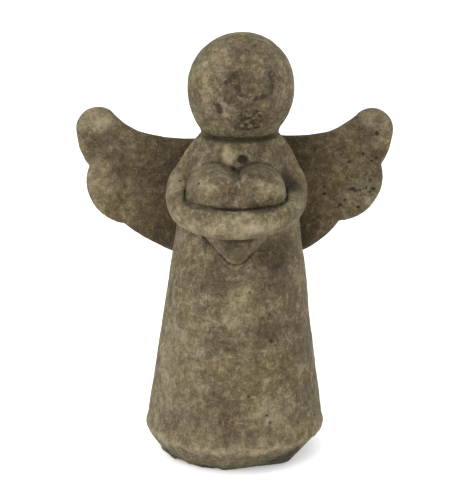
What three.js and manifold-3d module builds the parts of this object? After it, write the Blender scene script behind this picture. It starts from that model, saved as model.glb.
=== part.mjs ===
// Stoneware angel figurine: a bell-shaped robe with a bevelled foot, a plain ball head with no face,
// two lobed wings on the back, and arms that close into one band round a thick heart.
// Millimetres, +Z up, the figure faces -Y, and the origin is the middle of its flat underside.
// It is moulded in one piece, so every form is joined into one solid.
import * as THREE from "three";
import { mergeVertices } from "three/addons/utils/BufferGeometryUtils.js";
import Module from "manifold-3d";

// Robe: a flat foot, a bevel that widens up to the rounded hem, and a skirt that narrows to the neck.
const FOOT_RADIUS = 39.5;
const HEM_RADIUS = 53;
const HEM_HEIGHT = 17;
const HEM_ROUNDING = 8;
const ROBE_HEIGHT = 175.4; // from the hem to the neck
const WAIST_RADIUS = 35; // behind the arms
const WAIST_DROP = 45; // the waist's depth below the neck
const SKIRT_HOLLOW = 0.3; // how far the skirt's side sinks below a straight line
const NECK_RADIUS = 20.8;
const SHOULDER_POWER = 1.6; // 1 is a cone from the waist to the neck, and more is rounder
const NECK_GROOVE_DEPTH = 2;
const NECK_GROOVE_WIDTH = 1.6;
const BODY_LEAN = 0.016; // sideways shift of the robe and head for each unit of height

// Head: a ball whose lower half draws in to the neck.
const HEAD_RADIUS = 30.6;
const HEAD_RISE = 27; // from the neck to the ball's widest level
const JAW_POWER = 2.3; // how late the lower half draws in

// Wings: one slab behind the shoulders. Each outline runs from the shoulder round the tip to the
// robe, as arcs: a corner's place is a share of the wing's reach across and of its depth down, and
// bulge is how far the arc to the next corner swells past the straight line, as a share of the
// reach. A negative bulge is hollow.
const WING_THICKNESS = 11;
const WING_EDGE_SHARE = 0.4; // how much of the thickness each rounded edge takes
const WING_SETBACK = 20; // from the figure's axis to the slab's middle
const RIGHT_WING_REACH = 93.3; // from the figure's middle to the tip
const RIGHT_WING_DEPTH = 74.8; // from the neck's level down to where it meets the robe
const RIGHT_WING = [
  { across: 0.263, down: 0.057, bulge: -0.015 },
  { across: 0.597, down: 0.032, bulge: -0.014 },
  { across: 0.779, down: -0.112, bulge: 0.091 },
  { across: 1, down: 0.053, bulge: 0.01 },
  { across: 0.935, down: 0.293, bulge: 0.111 },
  { across: 0.667, down: 0.755, bulge: 0.021 },
];
const RIGHT_WING_END = { across: 0.438, down: 1 };
const LEFT_WING_REACH = 92.6;
const LEFT_WING_DEPTH = 75.4;
const LEFT_WING = [
  { across: 0.244, down: 0.095, bulge: -0.013 },
  { across: 0.597, down: 0.042, bulge: -0.014 },
  { across: 0.781, down: -0.133, bulge: 0.091 },
  { across: 1, down: 0.053, bulge: 0.015 },
  { across: 0.927, down: 0.306, bulge: 0.107 },
  { across: 0.713, down: 0.775, bulge: 0.012 },
];
const LEFT_WING_END = { across: 0.397, down: 1 };
const WING_ROOT_OVERLAP = 9; // how far the slab's lower edge runs on down inside the robe

// Arms: a round band from shoulder to shoulder, closed in front of the heart. Each station turns
// from the figure's side (0 degrees) to its front (90). It lies a share of the band's drop below
// the neck, its centre line is so many band radii outside the robe, and thick is its own radius as
// a share of the band's.
const ARM_RADIUS = 7.8;
const ARM_DROP = 42.1; // the front of the band, below the neck
const ARM_STATIONS = [
  { turn: -6, down: 0.095, out: -0.845, thick: 0.795 },
  { turn: -3, down: 0.278, out: -0.435, thick: 0.9 },
  { turn: 0, down: 0.494, out: -0.23, thick: 0.965 },
  { turn: 6, down: 0.651, out: 0.03, thick: 0.985 },
  { turn: 15, down: 0.758, out: 0.07, thick: 1 },
  { turn: 24, down: 0.812, out: 0.235, thick: 1 },
  { turn: 33, down: 0.843, out: 0.5, thick: 1 },
  { turn: 42, down: 0.869, out: 0.87, thick: 1 },
  { turn: 51, down: 0.897, out: 1.34, thick: 1 },
  { turn: 60, down: 0.926, out: 1.665, thick: 1 },
  { turn: 70, down: 0.967, out: 1.735, thick: 1 },
  { turn: 80, down: 0.993, out: 1.745, thick: 1 },
];
const ARM_FRONT = { turn: 90, down: 1, out: 1.74, thick: 1 };
const ARM_LEAN = 0.085; // sideways shift of the band for each unit of height
const ARM_LEAN_DROP = 47.5; // the level that doesn't shift, below the neck

// Heart: a thick pad with rounded edges, its point resting on the robe below the arms.
const HEART_LOBE_RADIUS = 16;
const HEART_LOBE_OVERLAP = 4.2; // how far each lobe's circle reaches past the heart's middle
const HEART_LOBE_RISE = 38.8; // from the point to the lobes' centres
const HEART_SIDE_RADIUS = 26; // the flank below each lobe
const HEART_EDGE_ROUNDING = 6.5;
const HEART_EDGE_DEPTH = 8; // how far back the rounded front edge reaches
const HEART_CROWN = 3; // how far the front swells past its rounded edge
const HEART_POINT_BLUNTNESS = 1; // the point's radius on the flat of the front face
const HEART_NOTCH_RADIUS = 0.5;
const HEART_THICKNESS = 26;
const HEART_POINT_DROP = 68.8; // the point's depth below the neck
const HEART_STANDOFF = 6; // the front of the crown, measured from the robe at the point
const HEART_TIP_FORWARD = 5; // degrees that its top leans towards the front
const HEART_SHIFT = 0.9; // sideways

// Dimple: a small round hollow in the chest above the heart.
const DIMPLE_RADIUS = 2.9;
const DIMPLE_DROP = 9.1; // below the neck
const DIMPLE_OUT = 1.2; // from the middle of the chest
const DIMPLE_SINK = 0.6; // how far its centre is outside the robe

// Facets.
const ROUND_STEPS = 60;
const SKIRT_STEPS = 8;
const SHOULDER_STEPS = 6;
const HEM_STEPS = 4;
const HEAD_STEPS = 9; // in each half of the head
const ARM_STEPS = 60;
const ARM_SIDES = 16;
const ARC_STEPS = 7;
const EDGE_STEPS = 3;
const HEART_CROWN_STEPS = 3;
const HEART_POINT_STEPS = 3;
const HEART_FLANK_STEPS = 3;
const HEART_LOBE_STEPS = 9;
const HEART_NOTCH_STEPS = 3;
const DIMPLE_STEPS = 12;
const MERGE_DISTANCE = 1e-4;

const wasm = await Module();
wasm.setup();

const neckHeight = HEM_HEIGHT + ROBE_HEIGHT;
const toRadians = THREE.MathUtils.degToRad;

// The robe's radius at a height, from the hem to the neck.
function robeRadius(height) {
  const waistHeight = neckHeight - WAIST_DROP;
  if (height <= waistHeight) {
    const up = (height - HEM_HEIGHT) / (waistHeight - HEM_HEIGHT);
    const straight = THREE.MathUtils.lerp(HEM_RADIUS, WAIST_RADIUS, up);
    return straight - 4 * SKIRT_HOLLOW * up * (1 - up);
  }
  const up = Math.min(1, (height - waistHeight) / WAIST_DROP);
  return NECK_RADIUS + (WAIST_RADIUS - NECK_RADIUS) * (1 - up ** SHOULDER_POWER);
}

// A closed three.js geometry as a manifold solid.
function solidOf(geometry) {
  const bare = new THREE.BufferGeometry();
  const flat = geometry.index ? geometry.toNonIndexed() : geometry;
  bare.setAttribute("position", flat.getAttribute("position").clone());
  const merged = mergeVertices(bare, MERGE_DISTANCE);
  return new wasm.Manifold(
    new wasm.Mesh({
      numProp: 3,
      vertProperties: merged.attributes.position.array,
      triVerts: new Uint32Array(merged.index.array),
    }),
  );
}

// Robe and head turned as one profile, with a groove at the neck.
function turnedBody() {
  const profile = [new THREE.Vector2(0, 0), new THREE.Vector2(FOOT_RADIUS, 0)];
  const hemCentre = HEM_RADIUS - HEM_ROUNDING;
  const toHem = new THREE.Vector2(hemCentre - FOOT_RADIUS, HEM_HEIGHT);
  const bevel = toHem.angle() - Math.asin(HEM_ROUNDING / toHem.length()) - Math.PI / 2;
  for (let i = 0; i <= HEM_STEPS; i++) {
    const turn = bevel * (1 - i / HEM_STEPS);
    profile.push(
      new THREE.Vector2(
        hemCentre + HEM_ROUNDING * Math.cos(turn),
        HEM_HEIGHT + HEM_ROUNDING * Math.sin(turn),
      ),
    );
  }
  const waistHeight = neckHeight - WAIST_DROP;
  for (let i = 1; i <= SKIRT_STEPS; i++) {
    const height = THREE.MathUtils.lerp(HEM_HEIGHT, waistHeight, i / SKIRT_STEPS);
    profile.push(new THREE.Vector2(robeRadius(height), height));
  }
  const grooveFoot = neckHeight - NECK_GROOVE_WIDTH / 2;
  for (let i = 1; i <= SHOULDER_STEPS; i++) {
    const height = THREE.MathUtils.lerp(
      waistHeight,
      grooveFoot,
      Math.sin(((i / SHOULDER_STEPS) * Math.PI) / 2),
    );
    profile.push(new THREE.Vector2(robeRadius(height), height));
  }
  profile.push(new THREE.Vector2(NECK_RADIUS - NECK_GROOVE_DEPTH, neckHeight));
  for (let i = 0; i < HEAD_STEPS; i++) {
    const down = 1 - i / HEAD_STEPS;
    const grooveTop = NECK_GROOVE_WIDTH / 2;
    const rise = THREE.MathUtils.lerp(HEAD_RISE, grooveTop, down);
    const drawnIn = (HEAD_RADIUS - NECK_RADIUS) * down ** JAW_POWER;
    profile.push(new THREE.Vector2(HEAD_RADIUS - drawnIn, neckHeight + rise));
  }
  for (let i = 0; i <= HEAD_STEPS; i++) {
    const turn = ((i / HEAD_STEPS) * Math.PI) / 2;
    profile.push(
      new THREE.Vector2(
        i < HEAD_STEPS ? HEAD_RADIUS * Math.cos(turn) : 0,
        neckHeight + HEAD_RISE + HEAD_RADIUS * Math.sin(turn),
      ),
    );
  }
  return solidOf(new THREE.LatheGeometry(profile, ROUND_STEPS).rotateX(Math.PI / 2));
}

// Points of the arc from a to b that swells by bulge to the right of the way from a to b.
function arcPoints(a, b, bulge) {
  const chord = b.clone().sub(a);
  const half = chord.length() / 2;
  const along = chord.normalize();
  const right = new THREE.Vector2(along.y, -along.x);
  const middle = a.clone().addScaledVector(along, half);
  const radius = (half * half + bulge * bulge) / (2 * bulge);
  const sweep = 4 * Math.atan(bulge / half);
  return Array.from({ length: ARC_STEPS }, (_, i) => {
    const turn = sweep * (i / ARC_STEPS - 0.5);
    return middle
      .clone()
      .addScaledVector(right, radius * Math.cos(turn) - radius + bulge)
      .addScaledVector(along, radius * Math.sin(turn));
  });
}

// One wing's outline from the shoulder to the robe, with reach negative on the left.
function wingOutline(corners, end, reach, depth) {
  const at = (corner) => new THREE.Vector2(corner.across * reach, neckHeight - corner.down * depth);
  const arcs = corners.map((corner, i) =>
    arcPoints(at(corner), at(corners[i + 1] ?? end), -corner.bulge * reach),
  );
  return [...arcs.flat(), at(end)];
}

// Extrudes an outline in the XZ plane with rounded edges, centred on y = 0.
function roundedSlab(points, thickness, rounding) {
  const geometry = new THREE.ExtrudeGeometry(new THREE.Shape(points), {
    depth: thickness - 2 * rounding,
    bevelEnabled: true,
    bevelThickness: rounding,
    bevelSize: rounding,
    bevelOffset: -rounding,
    bevelSegments: EDGE_STEPS,
    steps: 1,
    curveSegments: 1,
  });
  geometry.translate(0, 0, rounding - thickness / 2);
  return geometry.rotateX(Math.PI / 2);
}

// Both wings as one slab through the back of the robe.
function wings() {
  const right = wingOutline(RIGHT_WING, RIGHT_WING_END, RIGHT_WING_REACH, RIGHT_WING_DEPTH);
  const left = wingOutline(LEFT_WING, LEFT_WING_END, -LEFT_WING_REACH, LEFT_WING_DEPTH);
  const rootDepth = Math.max(RIGHT_WING_DEPTH, LEFT_WING_DEPTH) + WING_ROOT_OVERLAP;
  const root = new THREE.Vector2(0, neckHeight - rootDepth);
  const outline = [...right, root, ...left.reverse()];
  const slab = roundedSlab(outline, WING_THICKNESS, WING_THICKNESS * WING_EDGE_SHARE);
  return solidOf(slab.translate(0, WING_SETBACK, 0));
}

// The arms as one closed tube of changing radius along a smooth curve.
function arms() {
  const mirrored = (s) => ({ ...s, turn: 180 - s.turn });
  const stations = [...ARM_STATIONS, ARM_FRONT, ...ARM_STATIONS.map(mirrored).reverse()];
  const centres = stations.map((s) => {
    const height = neckHeight - s.down * ARM_DROP;
    const reach = robeRadius(height) + s.out * ARM_RADIUS;
    const turn = toRadians(s.turn);
    return new THREE.Vector3(reach * Math.cos(turn), -reach * Math.sin(turn), height);
  });
  const path = new THREE.CatmullRomCurve3(centres);
  const rings = [];
  for (let i = 0; i <= ARM_STEPS; i++) {
    const along = i / ARM_STEPS;
    const centre = path.getPoint(along);
    const forward = path.getTangent(along);
    const outward = new THREE.Vector3(centre.x, centre.y, 0).projectOnPlane(forward).normalize();
    const across = forward.clone().cross(outward);
    const station = along * (stations.length - 1);
    const before = Math.min(Math.floor(station), stations.length - 2);
    const thick = THREE.MathUtils.lerp(
      stations[before].thick,
      stations[before + 1].thick,
      station - before,
    );
    const radius = thick * ARM_RADIUS;
    const ring = [];
    for (let k = 0; k < ARM_SIDES; k++) {
      const turn = (2 * Math.PI * k) / ARM_SIDES;
      ring.push(
        centre
          .clone()
          .addScaledVector(outward, radius * Math.cos(turn))
          .addScaledVector(across, radius * Math.sin(turn)),
      );
    }
    rings.push(ring);
  }
  return solidOf(loft(rings, path.getPoint(0), path.getPoint(1)));
}

// Skins a row of equal rings and closes both ends with fans.
function loft(rings, first, last) {
  const sides = rings[0].length;
  const position = [];
  const triangle = (a, b, c) => [a, b, c].forEach((p) => position.push(p.x, p.y, p.z));
  for (let k = 0; k < sides; k++) {
    const n = (k + 1) % sides;
    for (let i = 0; i + 1 < rings.length; i++) {
      triangle(rings[i][k], rings[i][n], rings[i + 1][n]);
      triangle(rings[i][k], rings[i + 1][n], rings[i + 1][k]);
    }
    triangle(first, rings[0][n], rings[0][k]);
    triangle(last, rings.at(-1)[k], rings.at(-1)[n]);
  }
  const geometry = new THREE.BufferGeometry();
  geometry.setAttribute("position", new THREE.Float32BufferAttribute(position, 3));
  return geometry;
}

// Points along an arc, both ends included.
function arcAround(centre, radius, from, to, steps) {
  return Array.from({ length: steps + 1 }, (_, i) => {
    const turn = THREE.MathUtils.lerp(from, to, i / steps);
    return new THREE.Vector2(
      centre.x + radius * Math.cos(turn),
      centre.y + radius * Math.sin(turn),
    );
  });
}

// The heart's outline with its point at the origin, drawn in by inset all round: arcs for the
// point, the flank, the lobe and the notch, each touching the next, and their mirror image.
function heartOutline(inset) {
  const pointRadius = HEART_EDGE_ROUNDING + HEART_POINT_BLUNTNESS;
  const point = new THREE.Vector2(0, pointRadius);
  const spread = HEART_LOBE_RADIUS - HEART_LOBE_OVERLAP;
  const lobe = new THREE.Vector2(spread, HEART_LOBE_RISE);
  const flankCentre = spread + HEART_LOBE_RADIUS - HEART_SIDE_RADIUS;
  const flank = new THREE.Vector2(flankCentre, HEART_LOBE_RISE);
  const across = flank.clone().sub(point);
  const fan = Math.asin((HEART_SIDE_RADIUS - pointRadius) / across.length());
  const sideTurn = across.angle() - fan - Math.PI / 2;
  const reach = HEART_LOBE_RADIUS + HEART_NOTCH_RADIUS;
  const notchTurn = Math.acos(-spread / reach);
  const notch = new THREE.Vector2(0, HEART_LOBE_RISE + reach * Math.sin(notchTurn));
  const half = [
    ...arcAround(point, pointRadius - inset, -Math.PI / 2, sideTurn, HEART_POINT_STEPS),
    ...arcAround(flank, HEART_SIDE_RADIUS - inset, sideTurn, 0, HEART_FLANK_STEPS),
    ...arcAround(lobe, HEART_LOBE_RADIUS - inset, 0, notchTurn, HEART_LOBE_STEPS).slice(1),
    ...arcAround(
      notch,
      HEART_NOTCH_RADIUS + inset,
      notchTurn - Math.PI,
      -Math.PI / 2,
      HEART_NOTCH_STEPS,
    ).slice(1),
  ];
  const mirrored = half.slice(1, -1).map((p) => new THREE.Vector2(-p.x, p.y));
  return [...half, ...mirrored.reverse()];
}

// The heart as a stack of outlines, with its front rounded and crowned and its top tipped forward.
function heart() {
  const layer = (inset, depth) =>
    heartOutline(inset).map((p) => new THREE.Vector3(p.x, depth, p.y));
  const rings = [layer(0, HEART_THICKNESS)];
  for (let i = EDGE_STEPS; i >= 0; i--) {
    const turn = ((i / EDGE_STEPS) * Math.PI) / 2;
    const inset = HEART_EDGE_ROUNDING * (1 - Math.sin(turn));
    rings.push(layer(inset, HEART_CROWN + HEART_EDGE_DEPTH * (1 - Math.cos(turn))));
  }
  const middle = (depth) => new THREE.Vector3(0, depth, HEART_LOBE_RISE / 2);
  const face = rings.at(-1);
  for (let i = 1; i < HEART_CROWN_STEPS; i++) {
    const inward = i / HEART_CROWN_STEPS;
    const centre = middle(HEART_CROWN * (1 - inward) ** 2);
    rings.push(face.map((p) => p.clone().lerp(centre, inward).setY(centre.y)));
  }
  const pad = loft(rings, middle(HEART_THICKNESS), middle(0));
  const height = neckHeight - HEART_POINT_DROP;
  const front = robeRadius(height) + HEART_STANDOFF;
  pad.rotateX(toRadians(HEART_TIP_FORWARD));
  return solidOf(pad.translate(HEART_SHIFT, -front, height));
}

// A ball that cuts the dimple.
function dimple() {
  const ball = new THREE.SphereGeometry(DIMPLE_RADIUS, DIMPLE_STEPS, DIMPLE_STEPS / 2);
  const height = neckHeight - DIMPLE_DROP;
  const front = robeRadius(height) + DIMPLE_SINK;
  return solidOf(ball.translate(DIMPLE_OUT + BODY_LEAN * height, -front, height));
}

// A shift along X that grows with the height above a level.
function leaned(solid, lean, level) {
  const shear = new THREE.Matrix4().set(
    ...[1, 0, lean, -lean * level],
    ...[0, 1, 0, 0],
    ...[0, 0, 1, 0],
    ...[0, 0, 0, 1],
  );
  return solidOf(geometryOf(solid).applyMatrix4(shear));
}

// Every form joined into one solid.
function angel() {
  const body = leaned(turnedBody(), BODY_LEAN, 0);
  const band = leaned(arms(), ARM_LEAN, neckHeight - ARM_LEAN_DROP);
  return geometryOf(body.subtract(dimple()).add(band).add(heart()).add(wings()));
}

// A manifold solid as a three.js geometry.
function geometryOf(solid) {
  const mesh = solid.getMesh();
  const geometry = new THREE.BufferGeometry();
  geometry.setAttribute("position", new THREE.BufferAttribute(mesh.vertProperties, 3));
  geometry.setIndex(new THREE.BufferAttribute(mesh.triVerts, 1));
  return geometry;
}

const stoneware = new THREE.MeshStandardMaterial({
  color: 0x7a6e58,
  roughness: 0.9,
  metalness: 0,
});
const figure = new THREE.Mesh(angel(), stoneware);
figure.name = "angel_figurine";

const group = new THREE.Group();
group.add(figure);
export default group;
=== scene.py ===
import math

import bpy
import numpy as np
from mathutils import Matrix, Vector


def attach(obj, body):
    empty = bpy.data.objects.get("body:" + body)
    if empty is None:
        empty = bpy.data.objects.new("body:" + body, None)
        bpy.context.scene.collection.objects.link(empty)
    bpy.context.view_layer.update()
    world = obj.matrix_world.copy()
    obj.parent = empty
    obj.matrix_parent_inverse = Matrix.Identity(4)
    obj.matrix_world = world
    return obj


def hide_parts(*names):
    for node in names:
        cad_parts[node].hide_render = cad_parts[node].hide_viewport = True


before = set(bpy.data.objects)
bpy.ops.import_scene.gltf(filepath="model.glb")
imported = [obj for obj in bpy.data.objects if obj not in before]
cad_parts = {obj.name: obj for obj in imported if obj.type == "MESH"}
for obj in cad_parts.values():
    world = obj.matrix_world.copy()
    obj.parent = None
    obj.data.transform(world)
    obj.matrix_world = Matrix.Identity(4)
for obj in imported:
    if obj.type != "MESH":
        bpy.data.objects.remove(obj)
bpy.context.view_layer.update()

# A stoneware angel figurine, fired in one piece. One dense mesh replaces its one solid: the same
# forms as signed distances in millimetres, blended where the clay runs together, then roughened,
# pitted and chipped, and turned into a surface.

# Robe and head, in millimetres as in the solid.
FOOT_RADIUS = 39.5
HEM_RADIUS = 53.0
HEM_HEIGHT = 17.0
HEM_ROUNDING = 8.0
NECK_HEIGHT = 192.4
WAIST_RADIUS = 35.0
WAIST_DROP = 45.0
SKIRT_HOLLOW = 0.3
NECK_RADIUS = 20.8
SHOULDER_POWER = 1.6
NECK_GROOVE_DEPTH = 3.2
NECK_GROOVE_WIDTH = 3.0
BODY_LEAN = 0.016
HEAD_RADIUS = 30.6
HEAD_RISE = 27.0
JAW_POWER = 2.3
HEM_STEPS = 10
ROBE_STEPS = 70
JAW_STEPS = 24
CROWN_STEPS = 30

# Wings: corners as (out, height), each with the swell of the arc that follows it.
WING_THICKNESS = 11.0
WING_EDGE_ROUNDING = 4.8
WING_SETBACK = 20.0
WING_FRONT = WING_SETBACK - WING_THICKNESS / 2
RIGHT_WING = [
    (24.5, 188.1, -1.4),
    (55.7, 190.0, -1.3),
    (72.7, 200.8, 8.5),
    (93.3, 188.4, 0.9),
    (87.2, 170.5, 10.4),
    (62.2, 135.9, 2.0),
    (40.9, 117.6, 0.0),
]
LEFT_WING = [
    (22.6, 185.2, -1.2),
    (55.3, 189.2, -1.3),
    (72.3, 202.4, 8.4),
    (92.6, 188.4, 1.4),
    (85.8, 169.3, 9.9),
    (66.0, 134.0, 1.1),
    (36.8, 117.0, 0.0),
]
WING_ROOT_HEIGHT = 108.0

# Arms: stations as (turn in degrees, height, distance from the axis, radius).
ARM_STATIONS = [
    (-6, 188.4, 16.2, 6.2),
    (-3, 180.7, 22.8, 7.0),
    (0, 171.6, 27.9, 7.5),
    (6, 165.0, 32.1, 7.7),
    (15, 160.5, 33.6, 7.8),
    (24, 158.2, 35.4, 7.8),
    (33, 156.9, 37.7, 7.8),
    (42, 155.8, 40.8, 7.8),
    (51, 154.6, 44.7, 7.8),
    (60, 153.4, 47.4, 7.8),
    (70, 151.7, 48.2, 7.8),
    (80, 150.6, 48.4, 7.8),
    (90, 150.3, 48.4, 7.8),
]
ARM_LEAN = 0.085
ARM_LEAN_HEIGHT = 144.9
ARM_STEPS = 3
# Points outside a box this much larger than the arms count as far off.
ARM_MARGIN = 16
FAR_OFF = 30.0

# Heart.
HEART_LOBE_RADIUS = 16.0
HEART_LOBE_SPREAD = 11.8
HEART_LOBE_RISE = 38.8
HEART_SIDE_RADIUS = 26.0
HEART_POINT_RADIUS = 7.5
HEART_NOTCH_RADIUS = 0.5
HEART_EDGE_ROUNDING = 6.5
HEART_THICKNESS = 26.0
HEART_CROWN = 4.2
HEART_CROWN_RUN = 7.0
HEART_POINT_HEIGHT = 123.6
HEART_FRONT = -39.9
HEART_TIP_FORWARD = math.radians(5)
HEART_SHIFT = 0.9

# Where forms meet: how softly each blends into what is under it.
WING_BLEND = 3.0
SHOULDER_BLEND = 6.0
FOREARM_BLEND = 1.2
HEART_BLEND = 0.8
# The crease round the heart, wider beside the arms than above or below them.
CREASE_RADIUS = 1.3
CREASE_RADIUS_ABOVE = 0.6
# Heights between which the arms' blend widens, and the crease narrows above and below the arms.
SHOULDER_FADE = (166, 184)
CREASE_TOP = (163, 174)
CREASE_FOOT = (138, 148)

# The grid that the surface is cut from. Blocks of BLOCK cells a side are worked out only within
# REACH of the surface.
GRID_STEP = 0.75
GRID_LOW = np.array([-98.0, -62.0, -4.5])
GRID_HIGH = np.array([98.0, 58.0, 255.0])
BLOCK = 4
REACH = 3.5
POINTS_AT_ONCE = 400000
TRIANGLES = 190000


def robe_radius(height):
    """A straight skirt, slightly hollow, below shoulders that round in to the neck."""
    waist = NECK_HEIGHT - WAIST_DROP
    up = (height - HEM_HEIGHT) / (waist - HEM_HEIGHT)
    skirt = HEM_RADIUS + (WAIST_RADIUS - HEM_RADIUS) * up - 4 * SKIRT_HOLLOW * up * (1 - up)
    over = np.clip((height - waist) / WAIST_DROP, 0, 1)
    shoulder = NECK_RADIUS + (WAIST_RADIUS - NECK_RADIUS) * (1 - over ** SHOULDER_POWER)
    return np.where(height <= waist, skirt, shoulder)


def body_outline():
    """The robe and head cut through the axis: one side, then its mirror image."""
    centre = HEM_RADIUS - HEM_ROUNDING
    run = math.hypot(centre - FOOT_RADIUS, HEM_HEIGHT)
    slope = math.atan2(HEM_HEIGHT, centre - FOOT_RADIUS) - math.asin(HEM_ROUNDING / run)
    turns = np.linspace(slope - math.pi / 2, 0, HEM_STEPS)
    hem_x = centre + HEM_ROUNDING * np.cos(turns)
    hem_z = HEM_HEIGHT + HEM_ROUNDING * np.sin(turns)
    robe_z = np.linspace(HEM_HEIGHT, NECK_HEIGHT - NECK_GROOVE_WIDTH / 2, ROBE_STEPS)[1:]
    groove = NECK_RADIUS - NECK_GROOVE_DEPTH
    down = np.linspace(1, 0, JAW_STEPS)
    jaw_z = NECK_HEIGHT + HEAD_RISE + (NECK_GROOVE_WIDTH / 2 - HEAD_RISE) * down
    jaw_x = HEAD_RADIUS - (HEAD_RADIUS - NECK_RADIUS) * down ** JAW_POWER
    rise = np.linspace(0, math.pi / 2, CROWN_STEPS)[1:]
    crown_x = HEAD_RADIUS * np.cos(rise)
    crown_z = NECK_HEIGHT + HEAD_RISE + HEAD_RADIUS * np.sin(rise)
    across = [[FOOT_RADIUS], hem_x, robe_radius(robe_z), [groove], jaw_x, crown_x]
    up = [[0], hem_z, robe_z, [NECK_HEIGHT], jaw_z, crown_z]
    half = np.stack([np.concatenate(across), np.concatenate(up)], 1)
    return np.concatenate([half, half[-2::-1] * [-1, 1]])


def swelling_arc(start, end, bulge, steps=12):
    """Points from start towards end on an arc that swells to the right of the way."""
    start = np.array(start)
    chord = np.array(end) - start
    half = np.hypot(*chord) / 2
    along = chord / (2 * half)
    right = np.array([along[1], -along[0]])
    radius = (half * half + bulge * bulge) / (2 * bulge)
    turn = 4 * math.atan(bulge / half) * (np.arange(steps) / steps - 0.5)
    out = radius * np.cos(turn) - radius + bulge
    return start + along * half + out[:, None] * right + (radius * np.sin(turn))[:, None] * along


def wing_outline():
    """Both wings and the root between them, seen from the front."""
    sides = []
    for corners, side in ((RIGHT_WING, 1), (LEFT_WING, -1)):
        points = [
            swelling_arc((side * a[0], a[1]), (side * b[0], b[1]), -side * a[2])
            for a, b in zip(corners, corners[1:])
        ]
        end = np.array([[side * corners[-1][0], corners[-1][1]]])
        sides.append(np.concatenate([*points, end]))
    return np.concatenate([sides[0], [[0, WING_ROOT_HEIGHT]], sides[1][::-1]])


def round_arc(centre, radius, start, end, steps):
    """Points on a circle from one turn to another, with both ends."""
    turns = np.linspace(start, end, steps + 1)
    return np.stack([centre[0] + radius * np.cos(turns), centre[1] + radius * np.sin(turns)], 1)


def heart_outline():
    """The heart with its point at the origin: arcs for point, flank, lobe and notch, mirrored."""
    point = np.array([0, HEART_POINT_RADIUS])
    lobe = np.array([HEART_LOBE_SPREAD, HEART_LOBE_RISE])
    flank = np.array([HEART_LOBE_SPREAD + HEART_LOBE_RADIUS - HEART_SIDE_RADIUS, HEART_LOBE_RISE])
    across = flank - point
    fan = math.asin((HEART_SIDE_RADIUS - HEART_POINT_RADIUS) / np.hypot(*across))
    side_turn = math.atan2(across[1], across[0]) - fan - math.pi / 2
    reach = HEART_LOBE_RADIUS + HEART_NOTCH_RADIUS
    notch_turn = math.acos(-HEART_LOBE_SPREAD / reach)
    notch = np.array([0, HEART_LOBE_RISE + reach * math.sin(notch_turn)])
    half = np.concatenate([
        round_arc(point, HEART_POINT_RADIUS, -math.pi / 2, side_turn, 8),
        round_arc(flank, HEART_SIDE_RADIUS, side_turn, 0, 14),
        round_arc(lobe, HEART_LOBE_RADIUS, 0, notch_turn, 30)[1:],
        round_arc(notch, HEART_NOTCH_RADIUS, notch_turn - math.pi, -math.pi / 2, 4)[1:],
    ])
    return np.concatenate([half, half[-2:0:-1] * [-1, 1]])


def outline_distance(points, outline):
    """Distance to a closed outline, negative inside it."""
    best = np.full(len(points), np.inf)
    inside = np.zeros(len(points), bool)
    for a, b in zip(outline, np.roll(outline, -1, 0)):
        edge = b - a
        length = edge @ edge
        if length < 1e-12:
            continue
        offset = points - a
        share = np.clip(offset @ edge / length, 0, 1)
        best = np.minimum(best, ((offset - share[:, None] * edge) ** 2).sum(1))
        if a[1] != b[1]:
            crosses = (a[1] > points[:, 1]) != (b[1] > points[:, 1])
            inside ^= crosses & (points[:, 0] < a[0] + (points[:, 1] - a[1]) * edge[0] / edge[1])
    return np.where(inside, -1, 1) * np.sqrt(best)


class Profile:
    """A closed outline whose signed distance is looked up in a table."""

    def __init__(self, outline, step=0.4, margin=14.0):
        self.low = outline.min(0) - margin
        self.step = step
        size = np.ceil((outline.max(0) + margin - self.low) / step).astype(int) + 1
        u = self.low[0] + step * np.arange(size[0])
        v = self.low[1] + step * np.arange(size[1])
        points = np.stack(np.meshgrid(u, v, indexing="ij"), -1).reshape(-1, 2)
        self.table = outline_distance(points, outline).reshape(size)

    def at(self, u, v):
        u = np.clip((u - self.low[0]) / self.step, 0, self.table.shape[0] - 1.001)
        v = np.clip((v - self.low[1]) / self.step, 0, self.table.shape[1] - 1.001)
        i = u.astype(int)
        j = v.astype(int)
        u = u - i
        v = v - j
        table = self.table
        lower = table[i, j] * (1 - u) + table[i + 1, j] * u
        upper = table[i, j + 1] * (1 - u) + table[i + 1, j + 1] * u
        return lower * (1 - v) + upper * v


BODY = Profile(body_outline())
WINGS = Profile(wing_outline())
HEART = Profile(heart_outline(), step=0.25)


def blend(a, b, width):
    """The union of two distances, filleted over a width."""
    share = np.clip(0.5 + 0.5 * (b - a) / width, 0, 1)
    return b + (a - b) * share - width * share * (1 - share)


def smooth(low, high, value):
    """A smooth step from 0 at low to 1 at high."""
    share = np.clip((value - low) / (high - low), 0, 1)
    return share * share * (3 - 2 * share)


def rounded_slab(side, depth, rounding):
    """A flat shape with rounded edges, from its distances sideways and through."""
    side = side + rounding
    depth = depth + rounding
    outer = np.hypot(np.maximum(side, 0), np.maximum(depth, 0))
    return np.minimum(np.maximum(side, depth), 0) + outer - rounding


def arm_path():
    """The arms' centre line and radius, from shoulder to shoulder, as a smooth curve."""
    mirrored = [(180 - turn, *rest) for turn, *rest in ARM_STATIONS[-2::-1]]
    turn, height, reach, radius = np.array(ARM_STATIONS + mirrored, float).T
    turn = np.radians(turn)
    x = reach * np.cos(turn) + (height - ARM_LEAN_HEIGHT) * ARM_LEAN
    knots = np.stack([x, -reach * np.sin(turn), height, radius], 1)
    ends = np.concatenate([2 * knots[:1] - knots[1:2], knots, 2 * knots[-1:] - knots[-2:-1]])
    path = []
    for a, b, c, d in zip(ends, ends[1:], ends[2:], ends[3:]):
        for t in np.arange(ARM_STEPS) / ARM_STEPS:
            bend = (2 * a - 5 * b + 4 * c - d) * t * t
            twist = (3 * b - a - 3 * c + d) * t ** 3
            path.append(0.5 * (2 * b + (c - a) * t + bend + twist))
    return np.array([*path, knots[-1]])


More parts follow.
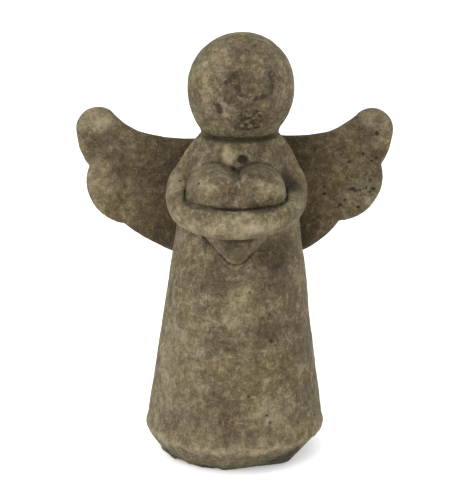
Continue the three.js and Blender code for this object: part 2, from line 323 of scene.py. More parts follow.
ARM_PATH = arm_path()


def arms_distance(p):
    """Distance to the arms, or a large value for points that are nowhere near them."""
    low = ARM_PATH[:, :3].min(0) - ARM_MARGIN
    high = ARM_PATH[:, :3].max(0) + ARM_MARGIN
    near = ((p > low) & (p < high)).all(1)
    q = p[near]
    best = np.full(len(q), FAR_OFF)
    for a, b in zip(ARM_PATH, ARM_PATH[1:]):
        edge = (b - a)[:3]
        offset = q - a[:3]
        share = np.clip(offset @ edge / (edge @ edge), 0, 1)
        gap = offset - share[:, None] * edge
        radius = a[3] + (b[3] - a[3]) * share
        best = np.minimum(best, np.sqrt((gap ** 2).sum(1)) - radius)
    distance = np.full(len(p), FAR_OFF)
    distance[near] = best
    return distance


def heart_distance(p):
    """Distance to the heart, a crowned slab that tips forward."""
    x = p[:, 0] - HEART_SHIFT
    y = p[:, 1] - HEART_FRONT
    z = p[:, 2] - HEART_POINT_HEIGHT
    level = math.cos(HEART_TIP_FORWARD)
    tip = math.sin(HEART_TIP_FORWARD)
    depth = y * level + z * tip
    side = HEART.at(x, z * level - y * tip)
    crown = HEART_CROWN * (1 - np.exp(np.minimum(side, 0) / HEART_CROWN_RUN))
    through = np.abs(depth - HEART_THICKNESS / 2) - HEART_THICKNESS / 2 - crown
    return rounded_slab(side, through, HEART_EDGE_ROUNDING)


def ball(p, centre, size):
    """Rough distance to a ball, or to an ellipsoid where size has three radii."""
    size = np.broadcast_to(np.asarray(size, float), 3)
    return (np.sqrt((((p - centre) / size) ** 2).sum(1)) - 1) * size.min()


def form(p):
    """Distance to the figurine before any roughness."""
    x, y, z = p.T
    body = BODY.at(np.hypot(x - BODY_LEAN * z, y), z)
    through = np.abs(y - WING_SETBACK) - WING_THICKNESS / 2
    wings = rounded_slab(WINGS.at(x, z), through, WING_EDGE_ROUNDING)
    arms = arms_distance(p)
    heart = heart_distance(p)
    whole = blend(body, wings, WING_BLEND)
    softness = FOREARM_BLEND + (SHOULDER_BLEND - FOREARM_BLEND) * smooth(*SHOULDER_FADE, z)
    whole = blend(whole, arms, softness)
    wider = (CREASE_RADIUS - CREASE_RADIUS_ABOVE) * (1 - smooth(*CREASE_TOP, z))
    crease = np.hypot(whole, heart) - (CREASE_RADIUS_ABOVE + wider * smooth(*CREASE_FOOT, z))
    whole = blend(whole, heart, HEART_BLEND)
    return np.maximum(whole, -crease)


# Noise: a lattice of random numbers, turned and made finer for each octave.
LATTICE_SIZE = 32
LATTICE = np.random.default_rng(11).uniform(-1, 1, (LATTICE_SIZE,) * 3)
OCTAVE_SHIFT = 7.3
OCTAVE_SHRINK = 2.03
OCTAVE_TURN = np.array([[0.8, 0.36, -0.48], [-0.6, 0.48, -0.64], [0.0, 0.8, 0.6]])


def noise(p, cell, octaves=1):
    """Smooth noise from about -1 to 1, in cells of so many millimetres."""
    total = np.zeros(len(p))
    weight = 1.0
    for octave in range(octaves):
        q = p / cell + OCTAVE_SHIFT * octave + cell
        base = np.floor(q).astype(int)
        f = q - base
        f = f * f * (3 - 2 * f)
        base %= LATTICE_SIZE
        after = (base + 1) % LATTICE_SIZE
        for corner in range(8):
            far = [corner & 1, corner >> 1 & 1, corner >> 2 & 1]
            at = [after[:, k] if far[k] else base[:, k] for k in range(3)]
            share = np.prod([f[:, k] if far[k] else 1 - f[:, k] for k in range(3)], 0)
            total += weight * share * LATTICE[at[0], at[1], at[2]]
        p = p @ OCTAVE_TURN
        cell /= OCTAVE_SHRINK
        weight *= 0.5
    return total


# The worn foot: flat cuts as (turn, distance from the axis at the floor, tilt) in degrees and
# millimetres, and two fuller places as (turn, millimetres).
FOOT_CUTS = [
    (-73, 35.6, 54),
    (-24, 39.6, 39),
    (28, 38.4, 56),
    (100, 37.6, 52),
    (172, 38.2, 58),
]
FULL_FOOT = [(-153, 1.8), (-38, 2.0)]
FULL_FOOT_SPREAD = 18
CUT_ROUNDING = 1.0
FOOT_TOP = 16

# How deep each kind of roughness goes, and the width of its noise.
SWELL = 0.5
SWELL_CELL = 27
GRAIN = 0.17
GRAIN_CELL = 5.0
CRUMBLE_MEAN = 0.25
CRUMBLE = 0.8
CRUMBLE_CELL = 4.4
# The rough patch below the middle of the head.
PATCH = (7.5, -27.0, 204.5)
PATCH_SIZE = (9.5, 9.0, 6.5)
PATCH_DEPTH = 0.45
PATCH_CELL = 2.6
# The lip that stands out where the robe meets the bevel.
LIP = 0.5
LIP_HEIGHT = 17.5


def worn_foot(p, d):
    """Cuts and fills the foot's edge."""
    turn = np.degrees(np.arctan2(p[:, 1], p[:, 0]))
    for middle, gain in FULL_FOOT:
        away = (turn - middle + 180) % 360 - 180
        d = d - gain * np.exp(-((away / FULL_FOOT_SPREAD) ** 2)) * (1 - smooth(4, 12, p[:, 2]))
    for middle, reach, tilt in FOOT_CUTS:
        heading = math.radians(middle)
        tilt = math.radians(tilt)
        level = math.cos(tilt)
        across = (math.cos(heading) * level, math.sin(heading) * level)
        facing = np.array([*across, -math.sin(tilt)])
        d = -blend(-d, reach * level - p @ facing, CUT_ROUNDING)
    return d


def roughness(p):
    """How far the surface stands below the even form."""
    swell = SWELL * noise(p, SWELL_CELL, 2)
    grain = GRAIN * noise(p, GRAIN_CELL, 3)
    foot = 1 - smooth(7, 14, p[:, 2])
    crumble = foot * (CRUMBLE_MEAN + CRUMBLE * noise(p, CRUMBLE_CELL, 3))
    patch = 1 - smooth(-2.5, 2.0, ball(p, PATCH, PATCH_SIZE) + noise(p, 4, 1))
    lip = LIP * np.exp(-(((p[:, 2] - LIP_HEIGHT) / 2.0) ** 2))
    return swell + grain + crumble + PATCH_DEPTH * patch * noise(p, PATCH_CELL, 2) - lip


def surface_net(field):
    """Vertices and quads of a grid's zero level, one vertex in each cell that it passes through."""
    inside = field < 0
    size = np.array(field.shape) - 1
    corners = [(i, j, k) for i in (0, 1) for j in (0, 1) for k in (0, 1)]
    count = 0
    for i, j, k in corners:
        count = count + inside[i:i + size[0], j:j + size[1], k:k + size[2]].astype(np.uint8)
    cells = np.argwhere((count > 0) & (count < 8))
    number = np.full(size, -1, np.int32)
    number[tuple(cells.T)] = np.arange(len(cells))
    value = {c: field[tuple((cells + c).T)].astype(float) for c in corners}
    total = np.zeros((len(cells), 3))
    hits = np.zeros(len(cells))
    for a in corners:
        for axis in range(3):
            if a[axis]:
                continue
            b = tuple(1 if k == axis else a[k] for k in range(3))
            crosses = (value[a] < 0) != (value[b] < 0)
            share = value[a][crosses] / (value[a] - value[b])[crosses]
            spot = np.tile(np.array(a, float), (len(share), 1))
            spot[:, axis] += share
            total[crosses] += spot
            hits[crosses] += 1
    vertices = GRID_LOW + GRID_STEP * (cells + total / hits[:, None])
    quads = []
    for axis in range(3):
        second = (axis + 1) % 3
        third = (axis + 2) % 3
        lower = [slice(1, -1)] * 3
        upper = [slice(1, -1)] * 3
        lower[axis] = slice(0, -1)
        upper[axis] = slice(1, None)
        starts = inside[tuple(lower)]
        spots = np.argwhere(starts != inside[tuple(upper)])
        solid_below = starts[tuple(spots.T)]
        offset = np.ones(3, int)
        offset[axis] = 0
        spots = spots + offset
        ring = []
        for back in ((1, 1), (0, 1), (0, 0), (1, 0)):
            cell = spots.copy()
            cell[:, second] -= back[0]
            cell[:, third] -= back[1]
            ring.append(number[tuple(cell.T)])
        quad = np.stack(ring, 1)
        quads.append(np.where(solid_below[:, None], quad, quad[:, ::-1]))
    return vertices, np.concatenate(quads)


def sample_field():
    """The rough figurine on a grid. Only blocks near the surface are worked out in full."""
    step = GRID_STEP
    blocks = np.ceil((GRID_HIGH - GRID_LOW) / (step * BLOCK)).astype(int)
    numbers = np.meshgrid(*[np.arange(n) for n in blocks], indexing="ij")
    firsts = BLOCK * np.stack(numbers, -1).reshape(-1, 3)
    centres = GRID_LOW + step * (firsts + (BLOCK - 1) / 2)
    rough = np.concatenate([form(part) for part in np.array_split(centres, 8)])
    half_diagonal = math.sqrt(3) * step * BLOCK / 2
    near = (np.abs(rough) < half_diagonal + REACH).reshape(blocks)
    sign = np.where(rough < 0, -REACH, REACH).astype(np.float32).reshape(blocks)
    near = near.repeat(BLOCK, 0).repeat(BLOCK, 1).repeat(BLOCK, 2)
    field = sign.repeat(BLOCK, 0).repeat(BLOCK, 1).repeat(BLOCK, 2)
    spots = np.argwhere(near)
    values = []
    for part in np.array_split(spots, max(1, len(spots) // POINTS_AT_ONCE)):
        p = GRID_LOW + step * part
        d = form(p)
        close = np.abs(d) < REACH
        d[close] += roughness(p[close])
        low_down = p[:, 2] < FOOT_TOP
        d[low_down] = worn_foot(p[low_down], d[low_down])
        values.append(np.maximum(d, -p[:, 2]).astype(np.float32))
    field[tuple(spots.T)] = np.concatenate(values)
    return field


def carve(field, centre, size, fade=0.35):
    """Cuts a ball or an ellipsoid out of the grid, with a rim as soft as fade."""
    step = GRID_STEP
    reach = np.max(size) + 2
    first = np.maximum(np.floor((centre - reach - GRID_LOW) / step).astype(int), 0)
    last = np.minimum(np.ceil((centre + reach - GRID_LOW) / step).astype(int), field.shape)
    axes = [GRID_LOW[k] + step * np.arange(first[k], last[k]) for k in range(3)]
    p = np.stack(np.meshgrid(*axes, indexing="ij"), -1)
    box = tuple(slice(a, b) for a, b in zip(first, last))
    cut = ball(p.reshape(-1, 3), centre, size).reshape(p.shape[:3])
    field[box] = -blend(-field[box], cut, fade)


def outward(p, step=0.6):
    """Unit directions away from the even form, from its change over a short step."""
    gradient = np.stack([form(p + step * axis) - form(p - step * axis) for axis in np.eye(3)], 1)
    return gradient / np.maximum(np.linalg.norm(gradient, axis=1, keepdims=True), 1e-9)


def on_surface(p):
    """Points moved onto the even form."""
    for _ in range(4):
        p = p - form(p)[:, None] * outward(p)
    return p


# Pits that the photograph shows: (x, y, z, radius across, radius up).
SEEN_PITS = np.array([
    (83.4, WING_FRONT, 189.3, 1.0, 1.2),
    (75.5, WING_FRONT, 177.4, 1.0, 0.8),
    (83.2, WING_FRONT, 175.0, 0.9, 0.7),
    (80.9, WING_FRONT, 173.2, 0.9, 0.6),
    (67.4, WING_FRONT, 172.6, 1.1, 0.8),
    (80.0, WING_FRONT, 161.8, 0.7, 0.9),
    (69.5, WING_FRONT, 156.3, 1.6, 0.9),
    (71.4, WING_FRONT, 155.2, 1.2, 0.8),
    (74.3, WING_FRONT, 155.1, 0.7, 0.7),
    (77.8, WING_FRONT, 156.9, 0.6, 0.7),
    (81.9, WING_FRONT, 156.3, 1.7, 1.0),
    (80.2, WING_FRONT, 154.5, 1.0, 0.7),
    (53.0, WING_FRONT, 153.3, 0.9, 0.7),
    (65.5, WING_FRONT, 149.6, 0.8, 0.6),
    (62.6, WING_FRONT, 146.6, 0.9, 1.0),
    (73.3, WING_FRONT, 145.4, 0.8, 0.8),
    (8.9, -39.4, 108.7, 0.7, 0.7),
    (21.2, -39.2, 79.8, 0.8, 0.9),
    (8.1, -47.7, 49.5, 0.7, 0.7),
    (18.7, -46.5, 37.7, 0.9, 0.8),
    (20.5, -46.5, 33.1, 0.7, 0.8),
    (4.9, -25.2, 199.3, 2.3, 0.8),
    (8.2, -24.5, 198.9, 1.7, 0.7),
    (6.3, -26.5, 201.8, 1.0, 1.1),
    (9.9, -26.6, 203.5, 0.8, 1.0),
    (7.6, -28.1, 206.0, 2.1, 0.9),
    (12.1, -24.0, 199.9, 1.1, 0.7),
    (14.0, -26.7, 206.9, 1.2, 0.8),
    (12.3, -28.2, 209.7, 0.9, 0.9),
    (1.0, -25.3, 199.6, 1.2, 0.9),
    (3.2, -29.0, 207.6, 1.3, 0.7),
    (4.3, -28.2, 205.5, 0.8, 0.8),
    (2.1, -27.1, 202.8, 1.0, 0.6),
    (14.9, -24.8, 203.5, 0.8, 0.8),
    (7.1, -29.4, 209.9, 1.0, 0.6),
])
SEEN_PIT_DEPTH = 1.3

# The hollow above the heart's notch and two in the notch: (x, y, z, radius or radii, softness).
HOLLOWS = [
    (4.7, -25.9, 182.7, (2.9, 2.7, 2.4), 1.8),
    (-0.6, -27.8, 177.2, 1.7, 0.8),
    (1.7, -30.6, 175.6, 1.2, 0.6),
]

# Pits all over, and chips along the foot's lower edge.
PIT_TRIES = 9000
PIT_COUNT = 420
CHIP_COUNT = 46
CHIP_SOFTNESS = 0.8


def roughen(field):
    """Cuts pits all over, the pits that the photograph shows, the hollows and the foot's chips."""
    rng = np.random.default_rng(5)
    spread = rng.uniform([-94, -56, 4], [94, 54, 250], (PIT_TRIES, 3))
    spread = on_surface(spread[np.abs(form(spread)) < 2.0][:PIT_COUNT])
    for centre in spread:
        radius = 0.3 + 0.7 * rng.random() ** 3
        carve(field, centre, radius)
    seen = on_surface(SEEN_PITS[:, :3])
    for centre, (across, up) in zip(seen, SEEN_PITS[:, 3:]):
        carve(field, centre, (across, SEEN_PIT_DEPTH, up))
    for x, y, z, size, fade in HOLLOWS:
        carve(field, np.array([x, y, z]), size, fade)
    for _ in range(CHIP_COUNT):
        turn = rng.uniform(0, 2 * math.pi)
        size = rng.uniform(1.0, 3.0)
        reach = FOOT_RADIUS + rng.uniform(-0.6, 1.8) + size * 0.5
        height = rng.uniform(-1.0, 1.2)
        centre = np.array([reach * math.cos(turn), reach * math.sin(turn), height])
        carve(field, centre, size, CHIP_SOFTNESS)


def mesh_object(name, vertices, faces):
    """A new object whose faces all have the same number of corners."""
    mesh = bpy.data.meshes.new(name)
    mesh.vertices.add(len(vertices))
    mesh.vertices.foreach_set("co", np.asarray(vertices, np.float32).ravel())
    mesh.loops.add(faces.size)
    mesh.loops.foreach_set("vertex_index", faces.astype(np.int32).ravel())
    mesh.polygons.add(len(faces))
    starts = np.arange(0, faces.size, faces.shape[1], dtype=np.int32)
    mesh.polygons.foreach_set("loop_start", starts)
    mesh.update(calc_edges=True)
    obj = bpy.data.objects.new(name, mesh)
    bpy.context.scene.collection.objects.link(obj)
    return obj


def thinned(obj, triangles):
    """Collapses a mesh to about so many triangles."""
    modifier = obj.modifiers.new("thin", "DECIMATE")
    modifier.ratio = triangles / (2 * len(obj.data.polygons))
    view = bpy.context.evaluated_depsgraph_get()
    mesh = bpy.data.meshes.new_from_object(obj.evaluated_get(view))
    obj.modifiers.clear()
    obj.data = mesh
    mesh.name = obj.name


def build_figurine():
    """The figurine's mesh, without its marks and material."""
    field = sample_field()
    roughen(field)
    vertices, quads = surface_net(field)
    obj = mesh_object("figurine", vertices / 1000, quads)
    thinned(obj, TRIANGLES)
    obj.data.shade_smooth()
    return obj


# Dark strokes on the front: (x, z) at each end, half width, strength.
DARK_STROKES = [
    (-5.4, 225.6, -1.5, 229.6, 1.6, 0.6),
    (-1.5, 229.6, 1.6, 231.4, 1.3, 0.5),
    (-4.6, 225.8, 0.8, 229.0, 2.1, 1.05),
    (0.8, 228.4, 2.9, 223.6, 1.8, 0.95),
    (1.2, 223.3, 4.0, 219.5, 1.6, 1.15),
    (4.0, 219.5, 7.6, 217.4, 1.4, 0.65),
    (12.2, 216.9, 16.0, 217.4, 2.0, 1.05),
    (16.0, 217.4, 19.5, 218.6, 1.5, 0.65),
    (19.4, 231.2, 20.0, 227.6, 1.6, 1.2),
    (20.2, 228.2, 21.2, 219.8, 1.7, 1.05),
    (22.6, 230.0, 24.4, 226.4, 2.0, 0.8),
    (-12.2, 215.4, -8.8, 212.7, 1.5, 0.9),
    (-8.8, 212.9, -7.6, 209.6, 1.9, 1.8),
    (-4.1, 220.2, -5.0, 216.0, 1.0, 0.6),
    (3.0, 212.3, 7.6, 213.2, 1.4, 0.6),
    (0.0, 200.2, 4.7, 204.6, 1.0, 0.9),
    (4.7, 204.6, 10.0, 206.7, 1.1, 0.9),
    (3.4, 198.7, 7.4, 203.1, 0.9, 0.9),
    (7.4, 203.1, 12.7, 205.1, 0.9, 0.8),
    (7.4, 198.6, 12.1, 199.9, 0.9, 0.9),
    (10.5, 208.6, 12.6, 210.2, 1.1, 0.8),
    # Painted shadow under the arms' band, left of the heart's point and in its notch.
    (-5.5, 140.4, 12.0, 140.4, 1.5, 0.7),
    (-17.2, 139.4, -14.8, 135.2, 1.7, 0.9),
    (-0.8, 177.8, 1.8, 175.8, 2.0, 1.1),
    (-2.8, 186.5, -1.6, 187.2, 1.4, 0.4),
]

# Light strokes on the front, as above: pale scratches, and painted highlights along the heart's
# upper edges and the right edge of its point.
LIGHT_STROKES = [
    (-9.0, 179.0, -2.0, 175.3, 0.6, 0.4),
    (1.5, 173.6, 2.6, 171.0, 0.9, 0.8),
    (-21.8, 175.5, -19.2, 177.6, 1.1, 0.6),
    (0.8, 163.6, 1.6, 160.9, 1.2, 0.8),
    (8.0, 219.6, 10.5, 218.2, 1.0, 0.7),
    (-7.5, 215.6, -5.6, 214.4, 1.1, 0.6),
    (4.0, 120.5, 13.5, 132.0, 0.8, 0.5),
    (1.0, 201.6, 5.5, 201.2, 0.6, 0.7),
    (8.5, 201.2, 12.0, 202.0, 0.6, 0.7),
    (5.0, 207.2, 9.0, 208.2, 0.6, 0.6),
    (-20.0, 222.0, -17.0, 214.0, 1.2, 0.5),
    (-32.0, 120.0, -37.0, 96.0, 1.3, 0.4),
    (-8.0, 94.0, 6.0, 101.0, 1.4, 0.3),
    (10.0, 58.0, 22.0, 64.0, 1.3, 0.4),
    (-6.0, 60.0, 8.0, 54.0, 1.3, 0.3),
]

# Soft-edged places, some stains in the clay's colour and some painted light and shade: (x, y, z,
# radius across, radius up, strength).
# Painted shadow on the foot's downward facets and chips, in the hollow beside the right arm, and
# round the heart.
PAINTED_SHADOWS = [
    (23.5, -43.0, 9.5, 6.0, 2.4, 0.8),
    (29.5, -40.0, 9.5, 7.0, 4.0, 1.4),
    (34.5, -36.0, 10.5, 6.0, 4.4, 1.4),
    (30.0, -31.0, 3.5, 7.0, 4.5, 1.6),
    (26.0, -37.0, 6.0, 9.0, 4.4, 1.6),
    (19.0, -41.0, 3.0, 8.0, 2.4, 0.9),
    (-3.0, -39.0, 1.0, 9.0, 1.6, 0.8),
    (-15.0, -38.0, 2.0, 7.0, 2.6, 1.2),
    (-36.0, -22.0, 5.0, 7.0, 4.0, 1.1),
    (31.0, -14.0, 166.0, 6.5, 6.8, 1.0),
    (31.0, -27.5, 1.0, 7.0, 4.0, 1.8),
    (17.0, -45.5, 160.4, 11.0, 2.3, 0.8),
    (16.0, -39.0, 127.0, 7.0, 6.0, 0.55),
]

# Painted shade and dark stains: shade at the wing roots, on the right wing, under the head and the
# arms' band and round the heart; stains on the head and robe.
SHADE_AND_STAINS = [
    (6.0, -29.0, 221.0, 19.0, 11.0, 0.5),
    (2.0, -44.0, 134.0, 15.0, 9.0, 0.4),
    (3.0, -44.0, 138.5, 12.0, 3.5, 0.9),
    (0.0, -38.0, 118.0, 32.0, 9.0, 0.35),
    (-4.0, -24.0, 190.0, 16.0, 3.0, 0.4),
    (20.0, -24.0, 212.0, 10.0, 14.0, 0.25),
    (7.5, -27.0, 204.5, 10.0, 7.0, 0.4),
    (12.0, -38.0, 177.3, 13.0, 4.6, 0.7),
    (-10.0, -22.0, 183.5, 4.0, 3.0, 0.5),
    (31.5, -17.0, 167.0, 7.5, 8.5, 1.2),
    (72.0, WING_FRONT, 166.0, 26.0, 26.0, 0.8),
    (78.0, WING_FRONT, 196.0, 18.0, 14.0, 0.7),
    (-78.0, WING_FRONT, 180.0, 20.0, 10.0, 0.3),
    (-60.0, WING_FRONT, 168.0, 18.0, 16.0, 0.75),
    (-25.0, -41.0, 165.5, 5.0, 3.0, 0.5),
    (-4.0, -46.0, 165.0, 5.0, 5.0, 0.4),
    (22.0, -32.0, 128.0, 18.0, 10.0, 0.95),
    (19.0, -36.0, 112.0, 12.0, 14.0, 0.45),
    (18.0, -39.0, 86.0, 15.0, 10.0, 0.55),
    (-12.0, -42.0, 82.0, 12.0, 9.0, 0.25),
    (-14.0, -46.0, 40.0, 15.0, 12.0, 0.45),
    (0.0, -50.0, 27.0, 12.0, 8.0, 0.25),
    (36.0, -26.0, 70.0, 12.0, 50.0, 0.3),
    (14.0, -24.0, 185.0, 9.0, 6.0, 0.4),
    (-14.0, -24.0, 184.0, 8.0, 6.0, 0.25),
    (17.5, -45.0, 161.5, 12.0, 3.6, 0.9),
]

# Where fine holes crowd together.
PITTED = [
    (8.5, -27.0, 204.0, 13.0, 8.5, 1.0),
    (74.0, WING_FRONT, 156.5, 11.0, 3.5, 0.6),
]

# Pale places: worn and dusted clay, and painted light and highlight on the arms' band, on the left
# side of the arms, heart, head and robe, and on the heart's right lobe.
PALE_AND_HIGHLIGHT = [
    (-82.0, WING_FRONT, 198.0, 12.0, 8.0, 0.65),
    (-80.0, WING_FRONT, 162.0, 12.0, 16.0, 0.35),
    (82.0, WING_FRONT, 198.0, 12.0, 8.0, 0.4),
    (76.0, WING_FRONT, 152.0, 14.0, 10.0, 0.35),
    (2.0, -56.0, 151.0, 22.0, 6.5, 0.75),
    (-28.0, -42.0, 150.0, 12.0, 7.0, 0.4),
    (-3.0, -24.0, 184.5, 4.2, 4.0, 0.9),
    (19.0, -45.0, 169.5, 7.0, 5.0, 0.38),
    (-18.0, -44.0, 170.0, 9.0, 7.0, 0.35),
    (-34.0, -16.0, 168.0, 7.0, 17.0, 0.7),
    (-43.0, -14.0, 152.0, 8.0, 8.0, 0.6),
    (-14.0, -45.0, 171.5, 5.0, 3.5, 0.6),
    (0.0, -50.0, 23.0, 60.0, 6.0, 0.2),
    (-27.0, -38.0, 60.0, 14.0, 46.0, 0.25),
    (3.0, -41.0, 101.0, 11.0, 14.0, 0.4),
    (-37.0, -24.0, 60.0, 10.0, 36.0, 0.45),
    (22.0, -44.0, 38.0, 14.0, 9.0, 0.3),
    (-14.0, -22.0, 236.0, 12.0, 9.0, 0.35),
    (0.0, -30.0, 199.0, 12.0, 3.0, 0.15),
]

# Where the clay is tinged yellow.
OCHRE = [
    (-3.0, -24.0, 184.5, 5.0, 4.5, 0.9),
    # Painted highlight, with the pale place here: the heart's right lobe.
    (18.0, -45.0, 170.0, 8.0, 6.0, 0.7),
    (3.0, -40.0, 104.0, 9.0, 12.0, 0.6),
    (4.0, -56.0, 150.0, 26.0, 7.0, 0.5),
    (42.0, -33.0, 24.0, 10.0, 8.0, 0.9),
    (-68.0, WING_FRONT, 148.0, 22.0, 14.0, 0.6),
    (46.0, WING_FRONT, 160.0, 26.0, 30.0, 0.7),
    (20.0, -43.0, 60.0, 18.0, 24.0, 0.5),
    (14.0, -25.0, 204.0, 10.0, 8.0, 0.4),
    (-55.0, WING_FRONT, 135.0, 18.0, 12.0, 0.5),
]

# Where the clay is tinged purple.
MAUVE = [
    (8.0, -29.0, 217.0, 15.0, 8.0, 0.8),
    (1.5, -20.0, 242.0, 9.0, 5.0, 0.9),
    (-9.0, -27.0, 212.0, 5.0, 5.0, 0.8),
    (-10.0, -42.0, 170.0, 14.0, 10.0, 0.8),
    # Painted shade: the purple-grey top of the heart's right lobe.
    (12.0, -38.0, 177.3, 14.0, 5.0, 1.0),
    (-48.0, WING_FRONT, 172.0, 16.0, 12.0, 0.7),
    (20.0, -33.0, 122.0, 16.0, 12.0, 0.9),
    (-14.0, -42.0, 110.0, 14.0, 16.0, 0.5),
    (-4.0, -48.0, 34.0, 16.0, 9.0, 0.6),
    (-15.0, -52.0, 155.5, 14.0, 2.5, 0.7),
    (24.0, -24.0, 190.0, 10.0, 8.0, 0.4),
]

# How far from the surface hollows and edges are looked for, and how far the marks wander.
HOLLOW_REACHES = (1.5, 4.0, 9.0)
EDGE_DEPTH = 3
EDGE_START = 0.12
DRIFT = 2.4
STROKE_DRIFT = 0.7
DRIFT_CELL = 7.0


def places(p, table):
    """How much of a table's places each point has."""
    total = np.zeros(len(p))
    for x, y, z, across, up, strength in table:
        flat = ((p[:, 0] - x) ** 2 + 0.5 * (p[:, 1] - y) ** 2) / across ** 2
        reach = np.sqrt(flat + ((p[:, 2] - z) / up) ** 2)
        total = np.maximum(total, strength * (1 - smooth(0.45, 1.3, reach)))
    return total


def strokes(p, table):
    """How much of a table's strokes each point on the front has."""
    total = np.zeros(len(p))
    front = p[:, 1] < 0
    x = p[front, 0]
    z = p[front, 2]
    for x0, z0, x1, z1, width, strength in table:
        along = ((x - x0) * (x1 - x0) + (z - z0) * (z1 - z0)) / ((x1 - x0) ** 2 + (z1 - z0) ** 2)
        along = np.clip(along, 0, 1)
        off = np.hypot(x - x0 - along * (x1 - x0), z - z0 - along * (z1 - z0)) / width
        total[front] = np.maximum(total[front], strength * (1 - smooth(0.3, 1.5, off)))
    return total


def shade(p):
    """Painted shade with stain: the wings darken towards the body, and the neck's groove is painted
    dark all round as shadow.
    """
    x, y, z = p.T
    out = np.abs(x)
    roots = 0.95 * (1 - smooth(42, 84, out)) * smooth(2, 12, y) * smooth(112, 126, z)
    neck = 0.8 * (1 - smooth(0.6, 2.8, np.abs(z - NECK_HEIGHT))) * (1 - smooth(24, 28, out))
    return np.maximum(roots, neck)


def mark_surface(obj):
    """Stores painted shade in hollows, worn edges with painted highlight, pits and coloured places,
    some of them painted light and shade, on the mesh for the material.
    """
    mesh = obj.data
    count = len(mesh.vertices)
    p = np.empty(count * 3, np.float32)
    mesh.vertices.foreach_get("co", p)
    p = p.reshape(-1, 3).astype(float) * 1000
    facing = outward(p)
    # In a hollow, clay stands close in front: hollows get painted shade. At an edge, the surface is
    # still close behind: edges are painted worn and highlit.
    hollow_shade = np.zeros(count)
    for reach in HOLLOW_REACHES:
        blocked = 1 - np.clip(form(p + reach * facing) / reach, 0, 1)
        hollow_shade += blocked / len(HOLLOW_REACHES)
    edge = np.clip(form(p - EDGE_DEPTH * facing) / EDGE_DEPTH + 1 - EDGE_START, 0, 1)
    # The places' outlines wander by up to a few millimetres.
    drift = np.stack([noise(p + 50 * axis, DRIFT_CELL, 3) for axis in np.eye(3)], 1)
    moved = p + DRIFT * drift
    swayed = p + STROKE_DRIFT * drift
    # The lip above the bevel is painted pale, as wear and painted highlight.
    lip_highlight_and_wear = 0.6 * np.exp(-(((moved[:, 2] - LIP_HEIGHT) / 2.6) ** 2))
    sunk = smooth(0.15, 0.8, -form(p) - roughness(p)) * (p[:, 2] > 8)
    faint = np.where(SEEN_PITS[:, 2] > NECK_HEIGHT, 0.5, 1.0)
    seen = places(p, np.column_stack([SEEN_PITS[:, :3], 1.2 * SEEN_PITS[:, 3:], faint]))
    # Several marks carry painted light and shade: shade in hollows and shaded places, shadows and
    # highlights among the strokes and stains, highlights on edges, the lip and pale places.
    marks = {
        "hollow_shade": hollow_shade,
        "edge": edge,
        "pit": np.maximum(sunk, seen),
        "stains_and_shadows": np.maximum(strokes(swayed, DARK_STROKES), places(p + 0.8 * drift, PAINTED_SHADOWS)),
        "light": strokes(swayed, LIGHT_STROKES),
        "pitted": places(moved, PITTED),
        "shade_and_stains": np.maximum(places(moved, SHADE_AND_STAINS), shade(p + 0.6 * drift)),
        "pale_and_highlight": np.maximum(places(moved, PALE_AND_HIGHLIGHT), lip_highlight_and_wear),
        "ochre": places(moved, OCHRE),
        "mauve": places(moved, MAUVE),
        "foot": 1 - smooth(4, 15, moved[:, 2]),
    }
    for name, values in marks.items():
        attribute = mesh.attributes.new(name, "FLOAT", "POINT")
        attribute.data.foreach_set("value", np.asarray(values, np.float32))


def srgb(r, g, b):
    """A linear colour from 0 to 255 values."""
    def linear(v):
        v /= 255
        return v / 12.92 if v <= 0.04045 else ((v + 0.055) / 1.055) ** 2.4
    return (linear(r), linear(g), linear(b), 1)


class Nodes:
    """A new material's node tree, and short calls that add to it."""

    def __init__(self, name):
        self.material = bpy.data.materials.new(name)
        self.material.use_nodes = True
        self.tree = self.material.node_tree
        self.tree.nodes.clear()

    def add(self, kind, values=None, **settings):
        node = self.tree.nodes.new(kind)
        for key, value in settings.items():
            setattr(node, key, value)
        for key, value in (values or {}).items():
            if isinstance(value, bpy.types.NodeSocket):
                self.tree.links.new(value, node.inputs[key])
            else:
                node.inputs[key].default_value = value
        return node

    def noise(self, where, scale, detail, rough=0.55, distortion=0.0):
        values = {"Vector": where, "Scale": scale, "Detail": detail}
        values |= {"Roughness": rough, "Distortion": distortion}
        return self.add("ShaderNodeTexNoise", values).outputs["Fac"]

    def between(self, value, low, high, to_low=0.0, to_high=1.0):
        """A smooth step from to_low to to_high as the value goes from low to high."""
        values = {"Value": value, "From Min": low, "From Max": high}
        values |= {"To Min": to_low, "To Max": to_high}
        node = self.add("ShaderNodeMapRange", values, interpolation_type="SMOOTHSTEP")
        return node.outputs["Result"]

    def mix(self, share, a, b, mode="MIX"):
        node = self.add("ShaderNodeMix", {0: share, 6: a, 7: b}, data_type="RGBA", blend_type=mode)
        return node.outputs[2]

    def math(self, operation, a, b=0.0):
        return self.add("ShaderNodeMath", {0: a, 1: b}, operation=operation).outputs[0]

    def total(self, *parts):
        """The sum of (value, weight) pairs."""
        weighted = [self.math("MULTIPLY", value, weight) for value, weight in parts]
        result = weighted[0]
        for value in weighted[1:]:
            result = self.math("ADD", result, value)
        return result

    def ramp(self, value, *stops):
        node = self.add("ShaderNodeValToRGB", {"Fac": value})
        elements = node.color_ramp.elements
        while len(elements) < len(stops):
            elements.new(0.5)
        for element, (position, colour) in zip(elements, stops):
            element.position = position
            element.color = colour
        return node.outputs["Color"]

    def mark(self, name):
        """One of the marks that mark_surface stores."""
        return self.add("ShaderNodeAttribute", attribute_name=name).outputs["Fac"]


